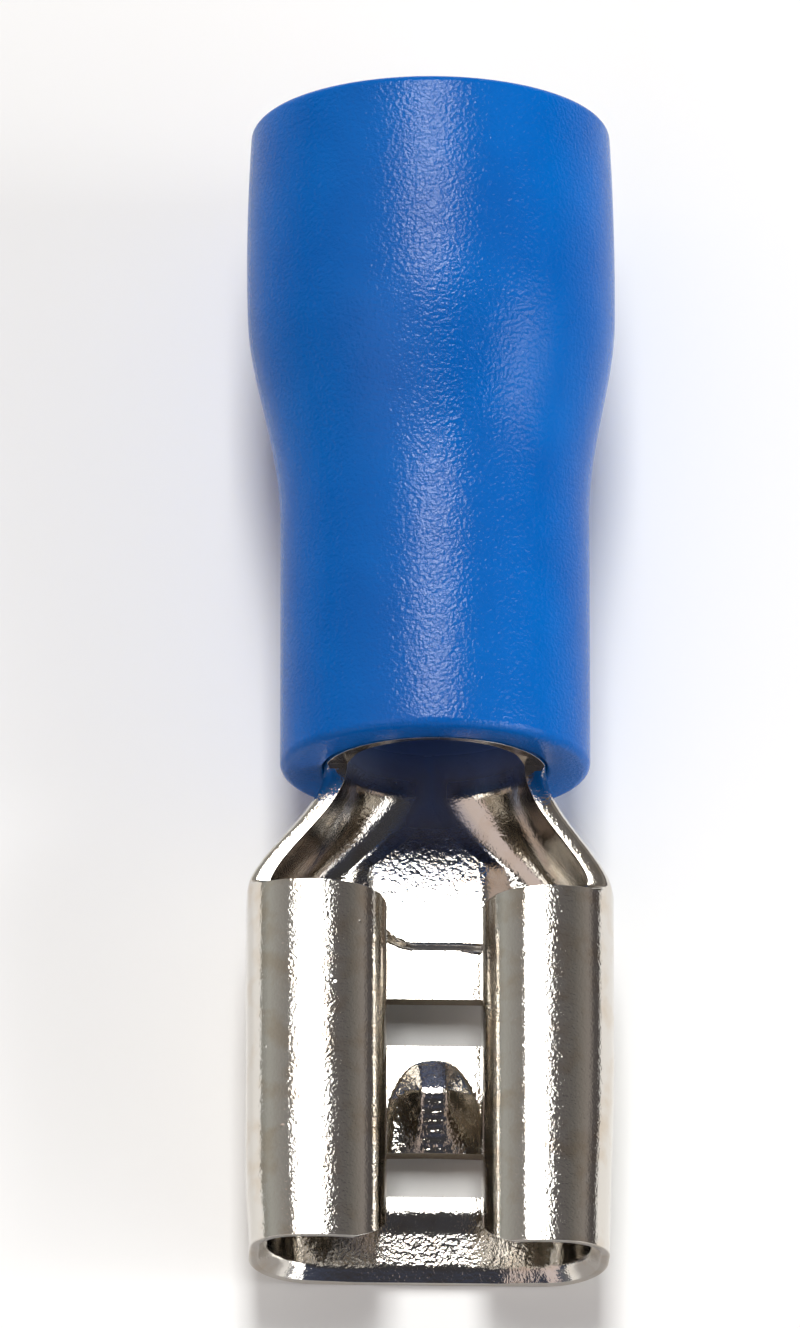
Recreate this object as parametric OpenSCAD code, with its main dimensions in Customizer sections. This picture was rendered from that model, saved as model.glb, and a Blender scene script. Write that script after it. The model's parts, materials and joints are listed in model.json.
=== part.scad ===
// Female spade terminal with an insulating sleeve, in millimetres.
// It lies at rest on z = 0: x is across the mouth, the mouth faces -y and the wire goes in from +y.
// The terminal is one stamped and rolled sheet. The sleeve is one moulded tube pressed over its barrel.

/* [Mating tab] */
// Width of the tab that the receptacle takes
tab_width = 4.8; // [4.6:0.05:5]
// Thickness of that tab
tab_thickness = 0.8; // [0.5:0.05:0.9]
// Room beside the tab on each side, at the widest height of the rolls
tab_room = 0.21; // [0.15:0.01:0.3]
// How far the free lips stand below the tab's face before it spreads them
lip_preload = 0.05; // [0.02:0.01:0.1]

/* [Sheet] */
// Thickness of the stamped sheet
sheet = 0.32; // [0.28:0.01:0.38]

/* [Receptacle] */
// Length of the rolls along the terminal
receptacle_length = 5.95; // [5.4:0.05:6.5]
// Height of the rolls over the underside of the floor
roll_height = 2.85; // [2.7:0.05:3.1]
// Clear gap between the two rolls
roll_gap = 1.54; // [1.3:0.02:1.8]
// Width of the lower corner, where the floor turns up into the side
corner_width = 1.08; // [0.9:0.02:1.2]
// Height of the lower corner
corner_height = 1.45; // [1.3:0.05:1.6]
// Radius of the outer shoulder of a roll
shoulder_radius = 0.85; // [0.7:0.05:0.95]
// Radius at which a roll turns down into its lip
lip_radius = 0.83; // [0.7:0.01:0.9]
// Slope of the corner cut off the front of each lip, as length for height
lip_cut_slope = 0.7; // [0.4:0.05:0.9]

/* [Floor] */
// Length of the floor in front of the windows
front_floor = 1.39; // [1.2:0.01:1.6]
// Length of the front window
front_window = 0.73; // [0.6:0.01:0.8]
// Length of the bridge between the windows
bridge_length = 1.82; // [1.7:0.01:1.9]
// Length of the rear window
rear_window = 0.79; // [0.65:0.01:0.8]
// Width of both windows
window_width = 2.6; // [2.2:0.05:3]
// Radius of the window corners
window_corner = 0.15; // [0.08:0.01:0.2]
// Height of the detent pressed up from the bridge
detent_height = 0.34; // [0.25:0.01:0.4]
// Width of the detent at its front
detent_width = 1.48; // [1.3:0.02:1.5]
// Radius of the round rear end of the detent
detent_radius = 0.5; // [0.45:0.01:0.55]
// Lead-in on the front edge of the floor
lead_in = 0.14; // [0.08:0.01:0.18]
// Height of the pressed step that stops the tab
stop_height = 0.2; // [0.15:0.01:0.25]
// Width of that step
stop_width = 1.62; // [1.4:0.02:1.8]
// Floor between the rear window and the step
stop_ledge = 0.83; // [0.75:0.01:0.9]
// Length of the raised pad behind the step
stop_length = 1.05; // [0.8:0.05:1.2]

/* [Neck] */
// Length of the open neck between the receptacle and the barrel
neck_length = 2.18; // [1.9:0.02:2.6]
// Height of the neck's cut edge at the receptacle, over the underside
wing_front = 2.6; // [2.3:0.05:2.65]
// Height of the neck's cut edge at the barrel, over the underside
wing_rear = 2.1; // [1.95:0.05:2.3]

/* [Barrel] */
// Outside diameter of the crimp barrel
barrel_diameter = 3.6; // [3.4:0.05:3.8]
// Length of the crimp barrel
barrel_length = 4.55; // [4:0.05:5]
// Opening of the butt seam along the top of the barrel
seam_gap = 0.05; // [0.03:0.01:0.08]

/* [Sleeve] */
// Length of the sleeve
sleeve_length = 10.94; // [10.5:0.02:11.5]
// Outside diameter over the barrel
grip_diameter = 5.02; // [4.8:0.02:5.2]
// Largest outside diameter of the wire end
bell_diameter = 6; // [5.8:0.02:6.2]
// Outside diameter at the rim of the wire end
rim_diameter = 5.84; // [5.7:0.02:5.9]
// Length of the straight grip
grip_length = 4.2; // [4:0.05:4.4]
// Length of the taper from the grip to the bell
taper_length = 3.5; // [3.2:0.05:3.7]
// Wall of the sleeve at the wire end
bell_wall = 0.6; // [0.5:0.02:0.7]
// Rounding of the sleeve's outer edges
sleeve_edge = 0.14; // [0.08:0.01:0.18]
// Lead-in of the sleeve's bore at the terminal end
bore_lead = 0.18; // [0.1:0.01:0.25]
// Clearance between the barrel and the sleeve, to each side
sleeve_clearance = 0.01; // [0.005:0.005:0.02]

// Which node to build

/* [Hidden] */
$fn = 64;
lap = 0.05;      // how far the neck runs into the receptacle and the barrel
inset = 0.01;    // how far its faces lie inside theirs there
joint = 0.02;    // shortest edge of the neck's section at the barrel
lower_steps = 14;
upper_steps = 5;
neck_steps = 14;
fin = 1;         // how far the cutters stand clear of what they cut

barrel_radius = barrel_diameter / 2;
underside = -barrel_radius;
floor_top = underside + sheet;
half_width = tab_width / 2 + tab_room + sheet;
corner_x = half_width - corner_width;
corner_z = underside + corner_height;
roll_top = underside + roll_height;
shoulder_x = half_width - shoulder_radius;
shoulder_z = roll_top - shoulder_radius;
lip_x = roll_gap / 2 + lip_radius;
seat = (corner_height - sheet)
    * (1 - sqrt(1 - pow((tab_width / 2 - corner_x) / (corner_width - sheet), 2)));
lip_z = floor_top + seat + tab_thickness - lip_preload;
bridge_front = front_floor + front_window;
bridge_rear = bridge_front + bridge_length;
stop_front = bridge_rear + rear_window + stop_ledge;
barrel_front = receptacle_length + neck_length;
sleeve_front = barrel_front;
sleeve_rear = sleeve_front + sleeve_length;
wing_angle_front = asin((wing_front + underside - shoulder_z) / shoulder_radius);
wing_angle_rear = asin((wing_rear + underside) / barrel_radius);
bell_y = sleeve_front + grip_length + taper_length + 0.77;
bore_radius = barrel_radius + sleeve_clearance;
flare_front = sleeve_front + barrel_length + 0.15;
flare_length = taper_length - 0.6;

function mix(a, b, f) = a + (b - a) * f;
function smooth(u) = u * u * (3 - 2 * u);
function reversed(list) = [for (i = [len(list) - 1:-1:0]) list[i]];
function mirrored(list) = [for (p = list) [-p[0], p[1]]];
function arc(x, z, a, b, from, to, n) =
    [for (k = [0:n]) let (t = from + (to - from) * k / n) [x + a * cos(t), z + b * sin(t)]];

// Outside radius of the sleeve at a place along it: a straight grip, an S-shaped taper and a slightly full bell
function sleeve_radius(y) =
    let (u = min(1, max(0, (y - sleeve_front - grip_length) / taper_length)),
         fall = (bell_diameter - rim_diameter) / 2 * pow((y - bell_y) / (sleeve_rear - bell_y), 2))
    mix(grip_diameter / 2, bell_diameter / 2 - fall, smooth(u));

// The part rests on the front edge of its floor and on whichever touches first, the sleeve's front edge or its bell
edge_y = sleeve_front + sleeve_edge;
edge_drop = grip_diameter / 2 - sleeve_edge + underside;
edge_tilt = atan(edge_drop / edge_y) + asin(sleeve_edge / norm([edge_y, edge_drop]));
bell_tilt = max([for (i = [0:80]) let (y = mix(sleeve_front + grip_length, sleeve_rear - sleeve_edge, i / 80))
    atan((sleeve_radius(y) + underside) / y)]);
rest_tilt = max(edge_tilt, bell_tilt);
front_reach = -roll_top * sin(rest_tilt);
rear_reach = (sleeve_rear - sleeve_edge) * cos(rest_tilt)
    + (rim_diameter / 2 - sleeve_edge) * sin(rest_tilt) + sleeve_edge;

module at_rest() {
    translate([0, -(front_reach + rear_reach) / 2, -underside * cos(rest_tilt)])
        rotate([rest_tilt, 0, 0]) children();
}

// Half of a roll's section at a depth d under its outer face, from the floor round to the lip
function roll_half(d) = concat(
    arc(corner_x, corner_z, corner_width - d, corner_height - d, -90, 0, lower_steps),
    arc(shoulder_x, shoulder_z, shoulder_radius - d, shoulder_radius - d, 0, 90, 2 * upper_steps),
    arc(lip_x, shoulder_z, lip_radius - d, shoulder_radius - d, 90, 180, 2 * upper_steps),
    [[roll_gap / 2 + d, lip_z]]);

// Half of the neck's section: the receptacle's side at u = 0 and the barrel's at u = 1
function neck_half(u, d) =
    let (f = smooth(pow(u, 0.9)))
    concat(
        arc(mix(corner_x, joint, f), mix(corner_z, -joint, f), mix(corner_width, barrel_radius - joint, f) - d,
            mix(corner_height, barrel_radius - joint, f) - d, -90, 0, lower_steps),
        arc(mix(shoulder_x, 0, f), mix(shoulder_z, joint, f), mix(shoulder_radius, barrel_radius, f) - d,
            mix(shoulder_radius, barrel_radius, f) - d, 0, mix(wing_angle_front, wing_angle_rear, f), upper_steps));

function neck_section(u) =
    let (outer = neck_half(u, inset), inner = neck_half(u, sheet - inset))
    concat(reversed(mirrored(outer)), outer, reversed(inner), mirrored(inner));

// The open trough that carries the sheet from the flat receptacle to the round barrel
module neck() {
    stations = concat([[0, -lap]], [for (i = [0:neck_steps]) [i / neck_steps, i / neck_steps * neck_length]],
        [[1, neck_length + lap]]);
    sections = [for (s = stations) neck_section(s[0])];
    n = len(sections[0]);
    m = len(stations);
    points = [for (i = [0:m - 1]) for (p = sections[i]) [p[0], receptacle_length + stations[i][1], p[1]]];
    sides = [for (i = [0:m - 2]) for (j = [0:n - 1]) for (k = [0, 1])
        let (a = i * n + j, b = i * n + (j + 1) % n)
        k == 0 ? [a, b, b + n] : [a, b + n, a + n]];
    caps = [for (i = [0, m - 1]) for (j = [0:n / 2 - 2]) for (k = [0, 1])
        let (a = i * n + j, b = a + 1, c = i * n + n - 1 - j, d = c - 1)
        i == 0 ? (k == 0 ? [a, d, b] : [a, c, d]) : (k == 0 ? [a, b, d] : [a, d, c])];
    polyhedron(points = points, faces = concat(sides, caps));
}

// A slab with rounded corners, centred across and starting at y
module slab(width, y, length, corner, z, height) {
    translate([-width / 2, y, z]) linear_extrude(height = height) {
        translate([corner, 0]) square([width - 2 * corner, length]);
        translate([0, corner]) square([width, length - 2 * corner]);
        for (x = [corner, width - corner]) for (e = [corner, length - corner])
            translate([x, e]) circle(r = corner);
    }
}

// The detent: a ramp from the front edge of the bridge up to a short round top with a steep rear
module detent_form(shrink, drop) {
    hull() {
        translate([-detent_width / 2 + shrink, bridge_front + shrink / 2, floor_top - drop - lap])
            cube([detent_width - 2 * shrink, lap, lap + 0.01]);
        translate([0, bridge_rear - 0.24 - detent_radius, floor_top - drop - lap])
            cylinder(r1 = detent_radius - shrink + 0.02, r2 = detent_radius - shrink - 0.12,
                h = detent_height + lap, $fn = 32);
    }
}

// A wedge across x that cuts the front corner off one lip, down to just over the floor
module lip_cut(x) {
    top = roll_top - 0.03;
    depth = top - floor_top - 0.2;
    translate([x, 0, top]) rotate([90, 0, 90]) linear_extrude(height = lip_x)
        polygon([[-fin, 0], [0, 0], [lip_cut_slope * depth, -depth], [-fin, -depth]]);
}

module receptacle() {
    outer = roll_half(0);
    inner = roll_half(sheet);
    difference() {
        union() {
            difference() {
                translate([0, receptacle_length, 0]) rotate([90, 0, 0]) linear_extrude(height = receptacle_length)
                    polygon(concat(outer, reversed(inner), mirrored(inner), reversed(mirrored(outer))));
                for (w = [[front_floor, front_window], [bridge_rear, rear_window]])
                    slab(window_width, w[0], w[1], window_corner, underside - fin, fin + sheet + 0.4);
                for (x = [-lip_x, 0]) lip_cut(x);
                // the lead-in on the floor
                translate([-corner_x, 0, floor_top]) rotate([90, 0, 90]) linear_extrude(height = 2 * corner_x)
                    polygon([[-fin, 0.01], [-fin, -lead_in], [0, -lead_in], [1.5 * lead_in, 0.01]]);
            }
            detent_form(0, 0);
        }
        detent_form(sheet * 0.62, sheet);
    }
}

module barrel() {
    translate([0, barrel_front, 0]) rotate([-90, 0, 0]) difference() {
        cylinder(r = barrel_radius, h = barrel_length);
        translate([0, 0, -fin]) cylinder(r = barrel_radius - sheet, h = barrel_length + 2 * fin);
        translate([-seam_gap / 2, -2 * barrel_radius, -fin])
            cube([seam_gap, 2 * barrel_radius, barrel_length + 2 * fin]);
    }
}

module terminal() {
    color([0.78, 0.77, 0.75]) at_rest() difference() {
        union() {
            receptacle();
            neck();
            barrel();
            slab(stop_width, stop_front, stop_length, 0.2, floor_top - lap, stop_height + lap);
        }
        slab(stop_width - 1.3 * sheet, stop_front + 0.65 * sheet, stop_length - 1.3 * sheet, 0.15,
            underside - fin, fin + stop_height);
    }
}

module sleeve() {
    rear_radius = sleeve_radius(sleeve_rear - sleeve_edge);
    taper_front = sleeve_front + grip_length;
    bell_front = taper_front + taper_length;
    outside = concat(
        arc(grip_diameter / 2 - sleeve_edge, sleeve_front + sleeve_edge, sleeve_edge, sleeve_edge, -90, 0, 4),
        [for (i = [0:12]) let (y = mix(taper_front, bell_front, i / 12)) [sleeve_radius(y), y]],
        [for (i = [1:5]) let (y = mix(bell_front, sleeve_rear - sleeve_edge, i / 6)) [sleeve_radius(y), y]],
        arc(rear_radius - sleeve_edge, sleeve_rear - sleeve_edge, sleeve_edge, sleeve_edge, 0, 90, 4));
    inside = concat(
        [[sleeve_radius(sleeve_rear) - bell_wall, sleeve_rear]],
        [for (i = [12:-1:0]) let (y = flare_front + flare_length * i / 12)
            [mix(bore_radius, sleeve_radius(y) - bell_wall, smooth(i / 12)), y]],
        [[bore_radius, sleeve_front + bore_lead], [bore_radius + bore_lead, sleeve_front]]);
    color([0, 0.38, 0.74]) at_rest() rotate([-90, 0, 0]) rotate_extrude($fn = 96)
        polygon([for (p = concat(outside, inside)) [p[0], p[1]]]);
}

terminal();
sleeve();
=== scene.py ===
"""Looks of the female spade terminal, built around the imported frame.

Lengths named in capitals are millimetres in the terminal's own frame: x across, y from the mouth along the
axis toward the wire, z up from the axis. to_row() carries points from that frame into the row frame.
"""

import json
import math

import bmesh
import bpy
import numpy as np
from mathutils import Matrix


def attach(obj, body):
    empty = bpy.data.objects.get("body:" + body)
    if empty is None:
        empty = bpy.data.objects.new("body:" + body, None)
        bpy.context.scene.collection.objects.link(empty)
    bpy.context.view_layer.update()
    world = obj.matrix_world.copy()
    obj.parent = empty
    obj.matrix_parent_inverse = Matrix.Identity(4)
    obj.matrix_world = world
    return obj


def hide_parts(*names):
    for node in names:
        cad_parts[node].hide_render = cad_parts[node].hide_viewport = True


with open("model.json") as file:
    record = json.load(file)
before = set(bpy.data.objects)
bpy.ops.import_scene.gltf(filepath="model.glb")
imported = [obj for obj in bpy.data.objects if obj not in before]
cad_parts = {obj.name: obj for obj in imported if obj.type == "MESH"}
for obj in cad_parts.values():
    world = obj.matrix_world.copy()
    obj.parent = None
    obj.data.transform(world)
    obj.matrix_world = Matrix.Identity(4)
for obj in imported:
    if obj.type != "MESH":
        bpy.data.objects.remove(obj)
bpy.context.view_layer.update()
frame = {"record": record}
scene = bpy.context.scene
bore = next(m for m in frame["record"]["mounts"] if m["name"] == "wire_barrel")
MM = 0.001

# ---------------------------------------------------------------- sizes, as in the part's source
SHEET = 0.32
RECEPTACLE = 5.95
NECK = 2.18
BARREL_R, BARREL_L = bore["dims"]["r_mm"] + SHEET, bore["dims"]["length_mm"]
BARREL_Y = RECEPTACLE + NECK
TERMINAL_END = BARREL_Y + BARREL_L
UNDER = -BARREL_R
FLAT_HALF = 1.85                                           # flat floor between the lower corners
LIP_Z = -0.38
WINDOWS = ((1.39, 2.12), (3.94, 4.73))                     # near and far end of each
WINDOW_HALF, WINDOW_CORNER = 1.3, 0.15
SLEEVE_Y, SLEEVE_END = BARREL_Y, BARREL_Y + 10.94
GRIP_R, BELL_R, RIM_R = 2.51, 3.0, 2.92
GRIP_L, TAPER_L = 4.2, 3.5
BELL_WALL, BORE_R, EDGE = 0.6, BARREL_R + 0.01, 0.14
WIDEST_Y = SLEEVE_Y + GRIP_L + TAPER_L + 0.77              # where the bell is widest
FLARE_Y, FLARE_L = SLEEVE_Y + BARREL_L + 0.15, TAPER_L - 0.6

# ---------------------------------------------------------------- finer form, which only the looks have
# a pair of values is for the left and the right side, because the two rolls aren't quite alike
HALF_WIDTH, MOUTH_HALF_WIDTH, WIDENS_OVER = (3.0, 2.93), (2.94, 2.85), (1.5, 3.2)
CORNER_W, MOUTH_CORNER_W, CORNER_H = (1.1, 1.02), (1.2, 1.02), (1.5, 1.4)
# top of each roll, where its crown is highest, and the crown's radius
ROLL_TOP, CREST_X, CROWN_R = (1.12, 0.93), (1.88, 1.71), 2.9
# radii of the shoulders, and the outer face of the lip
OUTER_R, INNER_R, LIP_X = (0.78, 0.86), (0.80, 0.75), (0.74, 0.80)
# the front corner cut off each lip, as length for height from a little under the top, and the rear one
LIP_CUT_SLOPE, LIP_CUT_DROP, REAR_CUT = 0.7, 0.08, 0.22
# where the neck's blank ends on the shoulder, and the height of its cut edge at the roll and at the barrel
BLANK_ANGLE, NECK_EDGE_FRONT, NECK_EDGE_REAR = math.radians(44.9), 0.52, 0.37
# the neck's wall is nearly upright, with this radius, after a share of the neck; its edge drops in another
UPRIGHT_R, UPRIGHT_BY, EDGE_DOWN_BY = 2.4, 0.16, 0.06
SQUARER = 4.0         # how much squarer than an ellipse the neck's corner is
SEAM = 0.012          # gap of the barrel's butt seam
NECK_ROUND = 0.1      # radius that the shear left on the neck's outer edge
# how much thinner the floor and its corners are right at the mouth, and the length of that lead-in
LEAD_IN, LEAD_IN_CORNER, LEAD_IN_L = 0.06, 0.19, 0.22
# how far the inside of the barrel's front edge leans back, and over what length
BARREL_LEAN, LEAN_L = 0.065, 0.37
# the floor pressed thinner toward the mouth: an even slope, and a short fall at its rear end
COIN_FROM, COIN_SLOPE = 1.15, 0.066
COIN_STEP_FROM, COIN_STEP_L, COIN_STEP = 1.14, 0.36, 0.033
# the detent: middle, half width, half width of its strip, length; height of its foot, rise and fall
DETENT_X, DETENT_HALF, DETENT_STRIP, DETENT_L = 0.07, 0.765, 0.22, 1.585
DETENT_FOOT, DETENT_RISE, DETENT_FALL = 0.05, 0.403, 0.31 / 0.38
RIDGE_ROUND, FLANK_ROUND, MARK_H, MARK_PITCH = 0.02, 0.012, 0.0055, 0.15
# the stop: place, height and fading length; length of its step, more at the right, and bend at the left
STEP_Y, STEP_H, STEP_FADE = 5.56, 0.14, 3.6
STEP_SOFT, STEP_SOFTER, STEP_BEND = 0.07, 0.05, 0.24
BORE_LEAD = 0.07      # lead-in of the sleeve's bore at the terminal end
# sideways drift of the axis, (amount, from, over): the barrel stands a little right, the bell comes back
DRIFT = ((0.05, 5.5, 3.0), (-0.07, 11.5, 6.0))

# ---------------------------------------------------------------- place in the row frame
# the axis of the bore mount is the terminal's own, and its middle is the barrel's middle
ALONG = np.array(bore["axis"]) / np.linalg.norm(bore["axis"])
UP = np.array([0.0, -ALONG[2], ALONG[1]])
ACROSS = np.array([1.0, 0.0, 0.0])
MOUTH = np.array(bore["pos_m"]) - ALONG * (BARREL_Y + BARREL_L / 2) * MM


def to_row(x, y, z):
    """Point = mouth + x across + y along the axis + z up, in metres of the row frame."""
    x, y, z = np.broadcast_arrays(x, y, z)
    return MOUTH + MM * (x[..., None] * ACROSS + y[..., None] * ALONG + z[..., None] * UP)


def mix(a, b, f):
    """a + (b - a) f."""
    return a + (b - a) * f


def smooth(u):
    """3u^2 - 2u^3 between 0 and 1, flat outside."""
    u = np.clip(u, 0.0, 1.0)
    return u * u * (3 - 2 * u)


def steps(first, *stops):
    """Rising positions from the first one through (value, count) stops: count equal steps up to a value."""
    rows = [np.array([first])]
    for value, count in stops:
        rows.append(np.linspace(rows[-1][-1], value, count + 1)[1:])
    return np.concatenate(rows)


def drift(y):
    """Sum over the drifts of amount times smooth((y - from) / over)."""
    return sum(amount * smooth((y - start) / over) for amount, start, over in DRIFT)


# ---------------------------------------------------------------- the stamped and rolled sheet
# Station along half a section: 0-1 floor, 1-2 lower corner, 2-3 side, 3-4 shoulder up to the neck's cut
# edge, 4-5 rest of the shoulder, 5-6 top, 6-7 inner shoulder, 7-8 lip. At the barrel 4-8 is the rest of the
# round. Each entry is a value and the number of equal steps up to it.
NECK_STATION = 4
STATIONS = ((WINDOW_HALF / FLAT_HALF, 26), (1, 8), (2, 18), (3, 5), (3.6, 4), (4, 8), (5, 9), (6, 4),
            (7, 14), (8, 6))
PLACES = ((LEAD_IN_L, 5), (WINDOWS[0][0], 18), (WINDOWS[0][1], 10), (3.8, 58), (WINDOWS[1][0], 3),
          (WINDOWS[1][1], 13), (5.5, 9), (5.66, 8), (RECEPTACLE, 9), (6.4, 12), (BARREL_Y, 20),
          (BARREL_Y + LEAN_L, 5), (TERMINAL_END, 10))


def section(s, y, depth):
    """Half-section on both sides of the centre (sign of s): floor, elliptic lower corner, straight side,
    round shoulder, crowned top, round inner shoulder, straight lip. Each arc is centre + (a cos t, b sin t),
    its semi-axes less the depth. Along the neck every centre and radius goes smoothly over from those of the
    receptacle to those of the barrel."""
    left = s < 0
    a = np.abs(s)
    mouth_width, roll_width, mouth_corner, roll_corner, corner_h = [np.where(left, *pair) for pair in (
        MOUTH_HALF_WIDTH, HALF_WIDTH, MOUTH_CORNER_W, CORNER_W, CORNER_H)]
    widens_over, top, crest, outer_r, inner_r, lip = [np.where(left, *pair) for pair in (
        WIDENS_OVER, ROLL_TOP, CREST_X, OUTER_R, INNER_R, LIP_X)]
    width = mix(mouth_width, roll_width, smooth(y / widens_over))
    corner_w = mix(mouth_corner, roll_corner, smooth(y / WIDENS_OVER[1]))
    # the crowned top runs into the shoulders at these angles, which gives the shoulders' centres
    outer_x, inner_x = width - outer_r, lip + inner_r
    outer_turn = np.arcsin((outer_x - crest) / (CROWN_R - outer_r))
    inner_turn = np.arcsin((crest - inner_x) / (CROWN_R - inner_r))
    crown_z = top - CROWN_R
    outer_z = crown_z + (CROWN_R - outer_r) * np.cos(outer_turn)
    inner_z = crown_z + (CROWN_R - inner_r) * np.cos(inner_turn)
    # u runs along the neck; its wall stands up straight just behind the roll and rounds into the barrel
    u = np.clip((y - RECEPTACLE) / NECK, 0, 1)
    f = smooth(u ** 0.9)
    corner_x, corner_z = mix(width - corner_w, 0.0, f), mix(UNDER + corner_h, 0.0, f)
    corner_a, corner_b = mix(corner_w, BARREL_R, f) - depth, mix(corner_h, BARREL_R, f) - depth
    upright, rounding = smooth(u / UPRIGHT_BY), smooth((u - UPRIGHT_BY) / (1 - UPRIGHT_BY))
    wall_r = mix(mix(outer_r, UPRIGHT_R, upright), BARREL_R, rounding)
    wall_x, wall_z = mix(width, BARREL_R, f) - wall_r, mix(outer_z, 0.0, f)
    roll_edge = outer_z + outer_r * math.sin(BLANK_ANGLE)
    neck_edge = mix(mix(roll_edge, NECK_EDGE_FRONT, smooth(u / EDGE_DOWN_BY)), NECK_EDGE_REAR, u)
    wall_a = wall_r - depth
    reach = np.where(u > 0, np.arcsin(np.clip((neck_edge - wall_z) / wall_a, -1, 1)), BLANK_ANGLE)
    # between receptacle and barrel the corner is a little squarer than an ellipse
    corner = np.radians(-90 + 90 * np.clip(a - 1, 0, 1))
    power = 2 / (2 + SQUARER * u * (1 - u))
    corner_cos = np.clip(np.cos(corner), 0, 1) ** power
    corner_sin = -np.clip(-np.sin(corner), 0, 1) ** power
    wall = reach * np.clip(a - 3, 0, 1)
    barrel = y > RECEPTACLE + NECK / 2
    seam = math.pi / 2 - SEAM / 2 / BARREL_R
    shoulder = np.where(barrel, mix(reach, seam, np.clip((a - 4) / 4, 0, 1)),
                        mix(reach, math.pi / 2 - outer_turn, np.clip(a - 4, 0, 1)))
    crown = math.pi / 2 + mix(-outer_turn, inner_turn, np.clip(a - 5, 0, 1))
    inward = mix(math.pi / 2 + inner_turn, math.pi, np.clip(a - 6, 0, 1))
    where = [a <= 1, a <= 2, a <= 3, a <= 4, (a <= 5) | barrel, a <= 6, a <= 7, a > 7]
    x = np.select(where, [
        a * corner_x, corner_x + corner_a * corner_cos, corner_x + corner_a, wall_x + wall_a * np.cos(wall),
        wall_x + wall_a * np.cos(shoulder), crest + (CROWN_R - depth) * np.cos(crown),
        inner_x + (inner_r - depth) * np.cos(inward), lip + depth])
    z = np.select(where, [
        UNDER + depth + 0 * a, corner_z + corner_b * corner_sin, mix(corner_z, wall_z, a - 2),
        wall_z + wall_a * np.sin(wall), wall_z + wall_a * np.sin(shoulder),
        crown_z + (CROWN_R - depth) * np.sin(crown), inner_z + (inner_r - depth) * np.sin(inward),
        mix(inner_z, LIP_Z, a - 7)])
    return np.where(left, -x, x), z


def lower_of(a, b, k):
    """Smooth minimum: -k ln(e^(-a/k) + e^(-b/k))."""
    low = np.minimum(a, b)
    return low - k * np.log1p(np.exp(-np.abs(a - b) / k))


def detent(x, y):
    """Height of the detent: the lower of a ramp that rises from the bridge's front edge and falls at its
    end, and of flanks that fall from its middle strip to its outline w (1 - (y/l)^2.2)^(1/2.3). The left
    flank is pressed hollow, and the punch left small marks across the strip, as a sine of y."""
    off, v = np.abs(x - DETENT_X), (y - WINDOWS[0][1]) / DETENT_L
    half = DETENT_HALF * np.clip(1 - np.clip(v, 0, 1) ** 2.2, 0, 1) ** (1 / 2.3)
    ramp = lower_of(DETENT_FOOT + DETENT_RISE * v, DETENT_FALL * (1 - v), RIDGE_ROUND)
    strip = np.minimum(DETENT_STRIP, 0.6 * half)
    up_flank = np.clip((half - off) / np.maximum(half - strip, 0.02), -1, 3)
    hollow = 0.3 * np.clip(up_flank / 0.12, -1, 1) + 0.7 * np.abs(up_flank) ** 2.2
    flank = ramp * np.where(x < DETENT_X, mix(up_flank, hollow, smooth((0.75 - v) / 0.3)), up_flank)
    marks = MARK_H * np.sin(2 * np.pi * y / MARK_PITCH) * smooth((strip - off) / 0.06) * (v < 0.6)
    return np.clip(lower_of(flank, ramp + marks, FLANK_ROUND), 0, None) * ((v > -0.1) & (v < 1))


def stop_pad(x, y):
    """Height of the stop: a step whose line bends toward the wire at its left end, then a long even fall to
    the neck's floor, and soft sides."""
    soft = STEP_SOFT + STEP_SOFTER * smooth((x - 0.5) / 0.3)
    line = STEP_Y + STEP_SOFT - soft + STEP_BEND * np.clip((-x - 0.2) / 0.55, 0, 1.2) ** 2
    fall = np.clip((y - STEP_Y - 0.1) / STEP_FADE, 0, 1)
    return STEP_H * (1 - fall) * smooth((y - line) / soft) * smooth((1.35 - np.abs(x)) / 0.5)


def coined(x, y):
    """How far the floor's upper face is pressed thinner toward the mouth: a short steep fall, then an even
    gentle one to the edge, less at the sides."""
    slope = COIN_SLOPE * np.clip(COIN_FROM - y, 0, None)
    step = COIN_STEP * smooth((COIN_STEP_FROM - y) / COIN_STEP_L)
    return (slope + step) * smooth((2.0 - np.abs(x)) / 0.9)


def window_gap(x, y, near, far):
    """Signed distance from the rounded outline of a window, negative inside it: the distance from a smaller
    plain rectangle less the corner's radius."""
    middle, half = (far + near) / 2, (far - near) / 2
    qx = np.abs(x) - (WINDOW_HALF - WINDOW_CORNER)
    qy = np.abs(y - middle) - (half - WINDOW_CORNER)
    outside, inside = np.hypot(np.maximum(qx, 0), np.maximum(qy, 0)), np.minimum(np.maximum(qx, qy), 0)
    return outside + inside - WINDOW_CORNER


def kept_cells(s, y):
    """True for each cell of the grid whose middle is inside the blank and outside the windows."""
    s, y = (s[1:, 1:] + s[:-1, 1:]) / 2, (y[1:, 1:] + y[1:, :-1]) / 2
    kept = (np.abs(s) < NECK_STATION) | (y < RECEPTACLE) | (y > BARREL_Y)
    x, _ = section(s, y, 0.0)
    for near, far in WINDOWS:
        kept &= ~((np.abs(s) <= 1) & (window_gap(x, y, near, far) < 0))
    return kept


def onto_windows(x, y, border):
    """Border points moved onto a window's outline: three times by their distance, along its slope."""
    reach, tiny = 0.06, 1e-4
    moved_x, moved_y = x, y
    for near, far in WINDOWS:
        close = border & (y > near - reach) & (y < far + reach)
        for _ in range(3):
            gap = window_gap(moved_x, moved_y, near, far)
            slope_x = (window_gap(moved_x + tiny, moved_y, near, far) - gap) / tiny
            slope_y = (window_gap(moved_x, moved_y + tiny, near, far) - gap) / tiny
            moved_x = np.where(close, moved_x - gap * slope_x, moved_x)
            moved_y = np.where(close, moved_y - gap * slope_y, moved_y)
    return moved_x, moved_y


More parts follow.
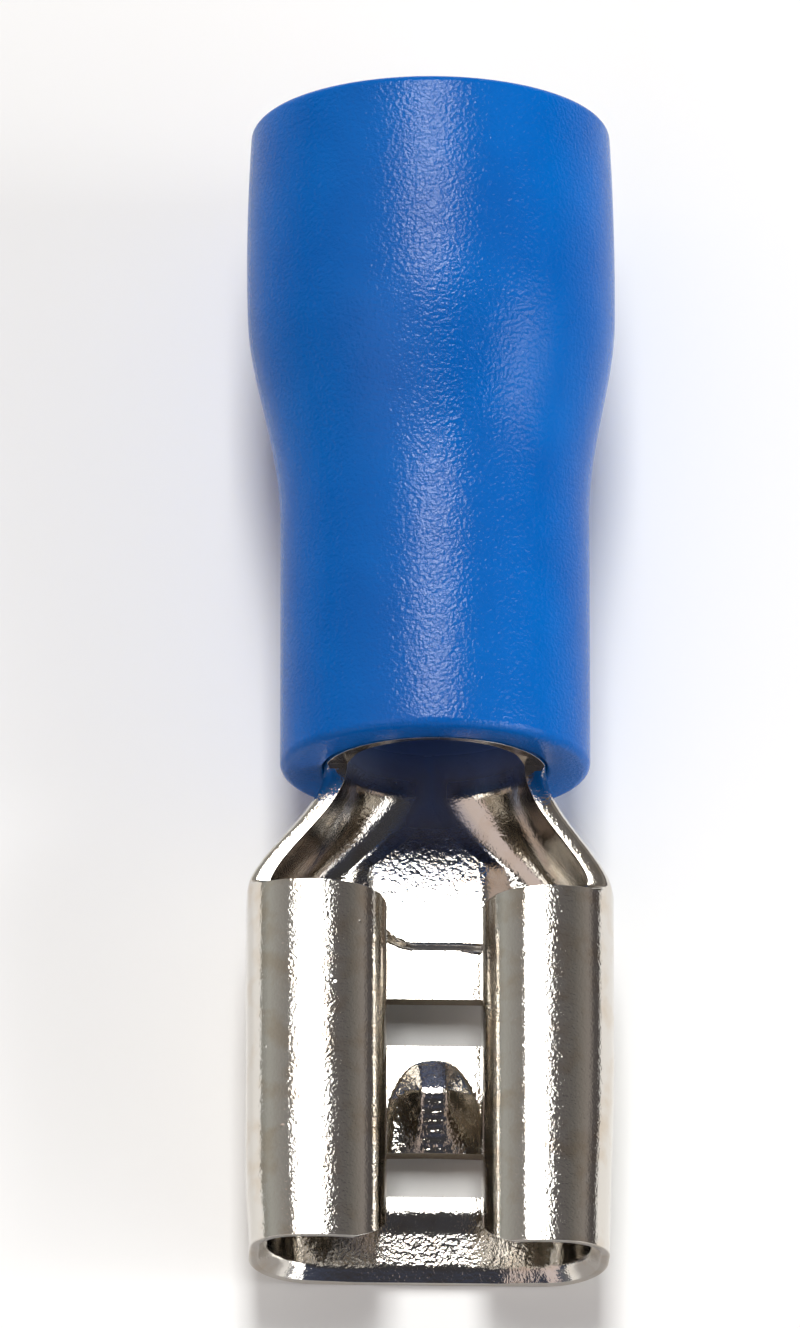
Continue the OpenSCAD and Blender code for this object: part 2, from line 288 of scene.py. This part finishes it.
def skin(kept):
    """Quads over the kept cells of the outer grid, the same ones turned over on the inner grid, and last a
    rim between the grids wherever a kept cell meets a missing one."""
    n, m = kept.shape[0] + 1, kept.shape[1] + 1
    index = np.arange(2 * n * m).reshape(2, n, m)
    quads = []
    for k, turn in zip(index, (1, -1)):
        q = np.stack([k[:-1, :-1], k[:-1, 1:], k[1:, 1:], k[1:, :-1]], -1)[kept]
        quads.append(q[:, ::turn])
    across, along = np.pad(kept, ((1, 1), (0, 0))), np.pad(kept, ((0, 0), (1, 1)))
    for before, after, first, second in (
            (across[:-1], across[1:], index[:, :, :-1], index[:, :, 1:]),
            (along[:, :-1], along[:, 1:], index[:, 1:, :], index[:, :-1, :])):
        for edge, turn in ((before & ~after, 1), (after & ~before, -1)):
            q = np.stack([first[0][edge], second[0][edge], second[1][edge], first[1][edge]], -1)
            quads.append(q[:, ::turn])
    return np.concatenate(quads)


def sheet_metal():
    """The sheet as two grids over stations across and places along: its outer face, and the same face one
    thickness in. Returns points, faces, and three marks for the material: worked and inner for each point,
    sheared for each face."""
    half = steps(0, *STATIONS)
    s, y = np.meshgrid(np.concatenate([-half[:0:-1], half]), steps(0, *PLACES), indexing="ij")
    a = np.abs(s)
    kept = kept_cells(s, y)
    # a point of the floor with kept cells on some of its four sides only is on a window's border
    padded = np.pad(kept, 1).astype(int)
    around = padded[1:, 1:] + padded[:-1, 1:] + padded[1:, :-1] + padded[:-1, :-1]
    x, z = section(s, y, 0.0)
    xs, ys = onto_windows(x, y, (around > 0) & (around < 4) & (a <= 1))
    # the front corner cut off each lip, and its rounded rear corner
    cut = LIP_CUT_SLOPE * np.clip(np.where(s < 0, *ROLL_TOP) - LIP_CUT_DROP - z, 0, None) * (a > 6)
    rear_cut = REAR_CUT * np.clip((a - 5.4) / 1.6, 0, 1) ** 2
    left_over = (RECEPTACLE - cut - rear_cut) / RECEPTACLE
    ys = np.where((a > 5) & (y <= RECEPTACLE), cut + left_over * ys, ys)
    rise = (detent(xs, ys) + stop_pad(xs, ys)) * (a <= 1)
    # the sheet is thinner at the mouth, and the inside of the barrel's front edge leans back
    lead_in = np.clip(1 - y / LEAD_IN_L, 0, 1) * mix(LEAD_IN, LEAD_IN_CORNER, smooth(a - 0.7))
    thin = lead_in + coined(xs, ys) * (a <= 2)
    lean = BARREL_LEAN * smooth(a - 4) * (y >= BARREL_Y) * np.clip(1 - (y - BARREL_Y) / LEAN_L, 0, 1)
    # the shear rounded the neck's outer edge
    to_edge = np.clip((a - 3.6) / 0.4, 0, 1)
    in_neck = smooth((y - RECEPTACLE) / 0.15) * smooth((BARREL_Y - y) / 0.2)
    rounded = NECK_ROUND * (1 - np.sqrt(1 - to_edge * to_edge)) * in_neck
    grids = []
    for depth, back in ((rounded, 0.0), (SHEET - thin, lean)):
        gx, gz = section(s, y, depth)
        grids.append(to_row(gx + xs - x + drift(ys), ys + back, gz + rise))
    faces = skin(kept)
    # 1 on the sheared rims; less at the mouth, in the neck and on the barrel's front edge, where forming
    # smeared the plate over them
    along = ys.ravel()[faces[:, 0] % s.size]
    bare = np.where((along < 0.5) | ((along > RECEPTACLE) & (along < BARREL_Y + 0.1)), 0.2, 1.0)
    sheared = (np.arange(len(faces)) >= 2 * kept.sum()) * bare
    # where the sheet was pressed or bent hard its grain opens up: the floor at the mouth, the detent, the
    # neck and, a little, the rolls
    in_trough = smooth((1.3 - a) / 0.4) * smooth((7.4 - ys) / 0.4)
    worked = np.maximum.reduce([
        (a <= 1.3) * (0.3 + 0.4 * smooth((0.85 - ys) / 0.2)) * smooth((1.3 - ys) / 0.25),
        (a <= 1) * smooth(detent(xs, ys) / 0.03),
        smooth((ys - 5.9) / 0.5) * mix(0.3, 0.5, in_trough),
        (a > 1) * 0.12 * np.ones_like(a)])
    # inside the barrel, and in the trough that leads to it, the plate is rougher and carries a painted
    # reflection of the sleeve's blue
    leading_in = smooth((ys - 7.1) / 0.9) * smooth((1.25 - a) / 0.25)
    inner = np.maximum(smooth((ys - BARREL_Y) / 0.6), 0.8 * leading_in)
    used, faces = np.unique(faces, return_inverse=True)
    points = np.stack(grids).reshape(-1, 3)[used]
    worked, inner = [np.tile(mark.ravel(), 2)[used] for mark in (worked, inner)]
    return points, faces.reshape(-1, 4), worked, inner, sheared


def build(name, points, faces):
    """A smooth-shaded piece from points and quads."""
    mesh = bpy.data.meshes.new(name)
    mesh.from_pydata(points.reshape(-1, 3).tolist(), [], faces.tolist())
    mesh.update()
    mesh.polygons.foreach_set("use_smooth", np.full(len(mesh.polygons), True))
    piece = bpy.data.objects.new(name, mesh)
    scene.collection.objects.link(piece)
    return piece


def paint(piece, name, values, domain="POINT"):
    """Keeps one number per point or face as an attribute for the material."""
    piece.data.attributes.new(name, "FLOAT", domain).data.foreach_set("value", values.astype(np.float32))


def weld(piece):
    """Joins points that fall together, where the floor's stations run into one line under the barrel."""
    mesh = bmesh.new()
    mesh.from_mesh(piece.data)
    bmesh.ops.remove_doubles(mesh, verts=mesh.verts, dist=1e-5 * MM)
    mesh.to_mesh(piece.data)
    mesh.free()


points, faces, worked, inner, sheared = sheet_metal()
terminal = build("terminal_sheet", points, faces)
paint(terminal, "worked", worked)
paint(terminal, "inner", inner)
paint(terminal, "sheared", sheared, "FACE")
weld(terminal)
edge = terminal.modifiers.new("sheared_edge", "BEVEL")
edge.width = 0.025 * MM
edge.segments = 2
edge.limit_method = "ANGLE"
edge.angle_limit = math.radians(50)
edge.harden_normals = True


# ---------------------------------------------------------------- the sleeve
def sleeve_radius(y):
    """Straight grip, then smooth(u) up to a bell that falls to the rim with the distance squared."""
    u = (y - SLEEVE_Y - GRIP_L) / TAPER_L
    fall = (BELL_R - RIM_R) * ((y - WIDEST_Y) / (SLEEVE_END - WIDEST_Y)) ** 2
    return mix(GRIP_R, BELL_R - fall, smooth(u))


def sleeve_tube():
    """A closed profile (radius, y) turned a full round: front edge, outside, rear edge, flared bore,
    straight bore, lead-in. The edges are quarter rounds, and the lead-in widens with the power 1.5."""
    t = np.radians(np.linspace(-90, 0, 9))
    front = np.stack([GRIP_R - EDGE + EDGE * np.cos(t), SLEEVE_Y + EDGE + EDGE * np.sin(t)], 1)
    y = steps(SLEEVE_Y + EDGE, (SLEEVE_Y + GRIP_L, 11), (SLEEVE_END - EDGE, 51))[1:]
    outside = np.stack([sleeve_radius(y), y], 1)
    t = np.radians(np.linspace(0, 90, 9))[1:]
    rim_r = sleeve_radius(SLEEVE_END - EDGE) - EDGE
    rear = np.stack([rim_r + EDGE * np.cos(t), SLEEVE_END - EDGE + EDGE * np.sin(t)], 1)
    y = np.linspace(SLEEVE_END, FLARE_Y, 30)
    flare = np.stack([mix(BORE_R, sleeve_radius(y) - BELL_WALL, smooth((y - FLARE_Y) / FLARE_L)), y], 1)
    y = np.linspace(FLARE_Y, SLEEVE_Y + BORE_LEAD, 12)[1:]
    straight = np.stack([np.full(len(y), BORE_R), y], 1)
    u = np.linspace(0, 1, 5)[1:]
    lead_in = np.stack([BORE_R + BORE_LEAD * u ** 1.5, SLEEVE_Y + BORE_LEAD * (1 - u)], 1)
    profile = np.concatenate([front, outside, rear, flare, straight, lead_in])
    turns = np.radians(np.arange(0, 360, 2.5))
    r, y = profile[:, :1], profile[:, 1:]
    points = to_row(r * np.cos(turns) + drift(y), y, r * np.sin(turns))
    k = np.arange(r.size * turns.size).reshape(r.size, turns.size)
    up, right = np.roll(k, -1, 0), np.roll(k, -1, 1)
    return points, np.stack([k, up, np.roll(up, -1, 1), right], -1).reshape(-1, 4)


sleeve = build("insulating_sleeve", *sleeve_tube())


# ---------------------------------------------------------------- materials
def srgb(hex_colour):
    """sRGB hex to linear: c/12.92 below 0.04045, else ((c + 0.055)/1.055)^2.4."""
    c = [int(hex_colour[i:i + 2], 16) / 255 for i in (1, 3, 5)]
    return [v / 12.92 if v <= 0.04045 else ((v + 0.055) / 1.055) ** 2.4 for v in c] + [1.0]


def node(tree, kind, links=None, **settings):
    """Adds a node. Settings are its own properties, or inputs by name or number, links feed its inputs."""
    made = tree.nodes.new(kind)
    inputs = settings.pop("inputs", {})
    for key, value in settings.items():
        setattr(made, key, value)
    for key, value in inputs.items():
        made.inputs[key].default_value = value
    for key, source in (links or {}).items():
        tree.links.new(source, made.inputs[key])
    return made


def material(name):
    """A new material with its node tree and its shader."""
    made = bpy.data.materials.new(name)
    made.use_nodes = True
    return made, made.node_tree, made.node_tree.nodes["Principled BSDF"]


# Bright tin plate: a mirror with a fine satin grain, coarser where the strip was pressed or bent, with tiny
# dents, a faint warm tarnish in patches, and bare brass where the strip was sheared after plating. Inside
# the barrel the plate is rougher, and the sleeve's blue is painted into it as a reflection. The real grain is
# too fine to show, so both grains are drawn coarser. The patterns' sizes are in mm.
TIN, TARNISHED_TIN, SLEEVE_BLUE_REFLECTION, SHEARED_BRASS = "#DAD6CF", "#D2C8BA", "#6F8CC0", "#8E7E66"
GRAIN, PRESSED_GRAIN, PATCH, DENT_SPACING = 0.045, 0.085, 0.5, 0.6
tin, tree, shader = material("bright_tin_over_stamped_brass")
coord = node(tree, "ShaderNodeTexCoord").outputs["Object"]
worked, inner, sheared = [node(tree, "ShaderNodeAttribute", attribute_name=name).outputs["Fac"]
                          for name in ("worked", "inner", "sheared")]
grain, pressed, patches = [
    node(tree, "ShaderNodeTexNoise", {"Vector": coord}, inputs={"Scale": 1 / (size * MM), "Detail": detail}
         ).outputs["Fac"] for size, detail in ((GRAIN, 2.0), (PRESSED_GRAIN, 2.0), (PATCH, 3.0))]
cells = node(tree, "ShaderNodeTexVoronoi", {"Vector": coord}, inputs={"Scale": 1 / (DENT_SPACING * MM)})
dents = node(tree, "ShaderNodeMapRange", {"Value": cells.outputs["Distance"]},
             inputs={"From Min": 0.0, "From Max": 0.07}).outputs[0]
# each pattern's height, its depth in mm and what scales it, one bump on top of the other
RELIEF = (
    (dents, 0.006, {}), (patches, 0.004, {}), (pressed, 0.011, {"Strength": worked}), (grain, 0.0038, {}))
normal = {}
for height, depth, strength in RELIEF:
    relief = node(tree, "ShaderNodeBump", {"Height": height, **strength, **normal},
                  inputs={"Strength": 1.0, "Distance": depth * MM})
    normal = {"Normal": relief.outputs["Normal"]}
tree.links.new(normal["Normal"], shader.inputs["Normal"])
dull = node(tree, "ShaderNodeMath", {0: inner, 1: sheared}, operation="MAXIMUM").outputs[0]
rough = node(tree, "ShaderNodeMapRange", {"Value": dull}, inputs={"To Min": 0.09, "To Max": 0.28}).outputs[0]
tree.links.new(rough, shader.inputs["Roughness"])
tarnish = node(tree, "ShaderNodeMapRange", {"Value": patches},
               inputs={"From Min": 0.48, "From Max": 0.68}).outputs[0]
colour = node(tree, "ShaderNodeMix", {0: tarnish}, data_type="RGBA",
              inputs={6: srgb(TIN), 7: srgb(TARNISHED_TIN)}).outputs[2]
# painted reflection: inside the barrel and its trough the sleeve's blue is painted into the colour; the
# sheared rims show bare brass
for share, over in ((inner, SLEEVE_BLUE_REFLECTION), (sheared, SHEARED_BRASS)):
    colour = node(tree, "ShaderNodeMix", {0: share, 6: colour}, data_type="RGBA",
                  inputs={7: srgb(over)}).outputs[2]
tree.links.new(colour, shader.inputs["Base Color"])
# inside the barrel the plate is made less metallic, so the painted blue reflection shows as diffuse colour
metal = node(tree, "ShaderNodeMapRange", {"Value": inner}, inputs={"To Min": 1.0, "To Max": 0.45}).outputs[0]
tree.links.new(metal, shader.inputs["Metallic"])
terminal.data.materials.append(tin)

# Moulded PVC: deep blue in slow clouds, satin, with a very fine orange peel that frosts the highlights
PEEL, PEEL_DEPTH, CLOUD = 0.062, 0.02, 1.8
pvc, tree, shader = material("moulded_blue_pvc")
coord = node(tree, "ShaderNodeTexCoord").outputs["Object"]
peel = node(tree, "ShaderNodeTexNoise", {"Vector": coord}, inputs={"Scale": 1 / (PEEL * MM), "Detail": 2.5})
bump = node(tree, "ShaderNodeBump", {"Height": peel.outputs["Fac"]},
            inputs={"Strength": 1.0, "Distance": PEEL_DEPTH * MM})
tree.links.new(bump.outputs["Normal"], shader.inputs["Normal"])
clouds = node(tree, "ShaderNodeTexNoise", {"Vector": coord},
              inputs={"Scale": 1 / (CLOUD * MM), "Detail": 3.0})
tone = node(tree, "ShaderNodeMapRange", {"Value": clouds.outputs["Fac"]},
            inputs={"From Min": 0.35, "From Max": 0.65}).outputs[0]
blue = node(tree, "ShaderNodeMix", {0: tone}, data_type="RGBA",
            inputs={6: srgb("#005CB2"), 7: srgb("#0064BC")}).outputs[2]
tree.links.new(blue, shader.inputs["Base Color"])
satin = node(tree, "ShaderNodeMapRange", {"Value": tone}, inputs={"To Min": 0.2, "To Max": 0.16}).outputs[0]
tree.links.new(satin, shader.inputs["Roughness"])
facing = node(tree, "ShaderNodeLayerWeight", inputs={"Blend": 0.5}).outputs["Facing"]
gloss = node(tree, "ShaderNodeMapRange", {"Value": facing},
             inputs={"From Min": 0.04, "From Max": 0.3, "To Min": 0.42, "To Max": 0.06}).outputs[0]
tree.links.new(gloss, shader.inputs["Specular IOR Level"])
sleeve.data.materials.append(pvc)

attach(terminal, "root")
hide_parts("terminal")
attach(sleeve, "root")
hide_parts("sleeve")

# ---------------------------------------------------------------- floor, in metres
FLOOR_HALF, FLOOR_Z = 1.5, -0.00002
floor_mesh = bpy.data.meshes.new("floor")
corners = [(x * FLOOR_HALF, y * FLOOR_HALF, FLOOR_Z) for x, y in ((-1, -1), (1, -1), (1, 1), (-1, 1))]
floor_mesh.from_pydata(corners, [], [(0, 1, 2, 3)])
floor = bpy.data.objects.new("floor", floor_mesh)
scene.collection.objects.link(floor)
# Matt white paper, without gloss
paper, tree, shader = material("white_paper")
shader.inputs["Base Color"].default_value = srgb("#FAFAF8")
shader.inputs["Roughness"].default_value = 0.9
shader.inputs["Specular IOR Level"].default_value = 0.0
floor.data.materials.append(paper)

# ---------------------------------------------------------------- studio light
world = bpy.data.worlds.new("studio")
scene.world = world
world.use_nodes = True
tree = world.node_tree
sky = tree.nodes["Background"]
ray = node(tree, "ShaderNodeTexCoord").outputs["Object"]
turned = node(tree, "ShaderNodeMapping", {"Vector": ray}, inputs={"Scale": (-1.0, -1.0, 1.0)}).outputs[0]
to_left, to_front, to_top = node(tree, "ShaderNodeSeparateXYZ", {0: turned}).outputs
# tilt of a ray from the zenith: left and front are positive
left_tilt = node(tree, "ShaderNodeMath", {0: to_left, 1: to_top}, operation="ARCTAN2").outputs[0]
front_tilt = node(tree, "ShaderNodeMath", {0: to_front, 1: to_top}, operation="ARCTAN2").outputs[0]


def band(tilt, low, high, soft):
    """1 between two tilts in degrees, with soft edges."""
    low, high, half = math.radians(low), math.radians(high), math.radians(soft / 2)
    rise = node(tree, "ShaderNodeMapRange", {"Value": tilt},
                inputs={"From Min": low - half, "From Max": low + half}).outputs[0]
    fall = node(tree, "ShaderNodeMapRange", {"Value": tilt}, inputs={
        "From Min": high - half, "From Max": high + half, "To Min": 1.0, "To Max": 0.0}).outputs[0]
    return node(tree, "ShaderNodeMath", {0: rise, 1: fall}, operation="MULTIPLY").outputs[0]


# the room: (tilt in degrees, red, green, blue), behind the table from its right wall over the ceiling to
# its left wall, and in front of it from the ceiling down to the horizon
ROOM_BACK = (
    (-88, 0.10, 0.09, 0.09), (-74, 0.10, 0.09, 0.09), (-60, 0.30, 0.27, 0.25), (-45, 0.24, 0.22, 0.20),
    (-28, 0.17, 0.16, 0.15), (-12, 0.13, 0.12, 0.12), (14, 0.26, 0.25, 0.24), (43, 0.37, 0.36, 0.34),
    (66, 0.46, 0.46, 0.43), (88, 0.32, 0.32, 0.30))
ROOM_FRONT = (
    (-10, 0.05, 0.05, 0.05), (20, 0.05, 0.05, 0.06), (40, 0.06, 0.07, 0.11), (60, 0.10, 0.11, 0.15),
    (88, 0.24, 0.24, 0.25))
# the front part of the room takes over between these front tilts, in degrees
TAKES_OVER = (-9, -4)
# soft boxes: left from, to, front from, to (degrees from the zenith), softness, colour, strength
CARDS = (
    (-5, 10, -52, -8, 1.0, "#FFFFFF", 13.5),
    (12, 64, -5, 56, 6, "#F0DDD4", 0.8),
    (-84, -50, 0, 76, 6, "#FFFFFF", 3.0),
    (-72, -52, 2, 22, 4, "#FFFFFF", 6.0),
)
walls = []
for tilt, stops in ((left_tilt, ROOM_BACK), (front_tilt, ROOM_FRONT)):
    turn = node(tree, "ShaderNodeMapRange", {"Value": tilt},
                inputs={"From Min": -math.pi / 2, "From Max": math.pi / 2}).outputs[0]
    wall = node(tree, "ShaderNodeValToRGB", {"Fac": turn})
    marks = wall.color_ramp.elements
    marks.remove(marks[0])
    for i, (degrees, *colour) in enumerate(stops):
        at = (degrees + 90) / 180
        mark = marks.new(at) if i else marks[0]
        mark.position, mark.color = at, (*colour, 1.0)
    walls.append(wall.outputs["Color"])
forward = node(tree, "ShaderNodeMapRange", {"Value": front_tilt}, inputs={
    "From Min": math.radians(TAKES_OVER[0]), "From Max": math.radians(TAKES_OVER[1])}).outputs[0]
total = node(tree, "ShaderNodeMix", {0: forward, 6: walls[0], 7: walls[1]}, data_type="RGBA").outputs[2]
for low, high, near, far, soft, colour, strength in CARDS:
    across, along = band(left_tilt, low, high, soft), band(front_tilt, near, far, soft)
    mask = node(tree, "ShaderNodeMath", {0: across, 1: along}, operation="MULTIPLY").outputs[0]
    glow = node(tree, "ShaderNodeVectorMath", {"Scale": mask}, operation="SCALE",
                inputs={0: [v * strength for v in srgb(colour)[:3]]}).outputs[0]
    total = node(tree, "ShaderNodeVectorMath", {0: total, 1: glow}, operation="ADD").outputs[0]
tree.links.new(total, sky.inputs["Color"])
sky.inputs["Strength"].default_value = 1.0

# ---------------------------------------------------------------- camera
VIEW_BACK = 18.0      # degrees from the perpendicular to the axis toward the mouth
VIEW_ROLL = 2.2       # degrees round the axis toward the left
DISTANCE = 300.0      # millimetres from the target
HEIGHT = 21.52        # millimetres of the frame at the target
TARGET_Y, TARGET_LEFT = 9.96, 0.519
SENSOR = 36.0
tip, roll = math.radians(VIEW_BACK), math.radians(VIEW_ROLL)
back = math.cos(tip) * (math.cos(roll) * UP - math.sin(roll) * ACROSS) - math.sin(tip) * ALONG
up = ALONG - np.dot(ALONG, back) * back
up /= np.linalg.norm(up)
right = np.cross(up, back)
target = to_row(0.0, TARGET_Y, 0.0) - right * TARGET_LEFT * MM
place = np.eye(4)
place[:3] = np.column_stack([right, up, back, target + back * DISTANCE * MM])
camera = bpy.data.objects.new("camera", bpy.data.cameras.new("camera"))
camera.matrix_world = Matrix(place.tolist())
camera.data.sensor_fit = "VERTICAL"
camera.data.sensor_height = SENSOR
camera.data.lens = SENSOR * DISTANCE / HEIGHT
camera.data.clip_start, camera.data.clip_end = 0.01, 5.0
scene.collection.objects.link(camera)
scene.camera = camera
scene.view_settings.view_transform = "Standard"
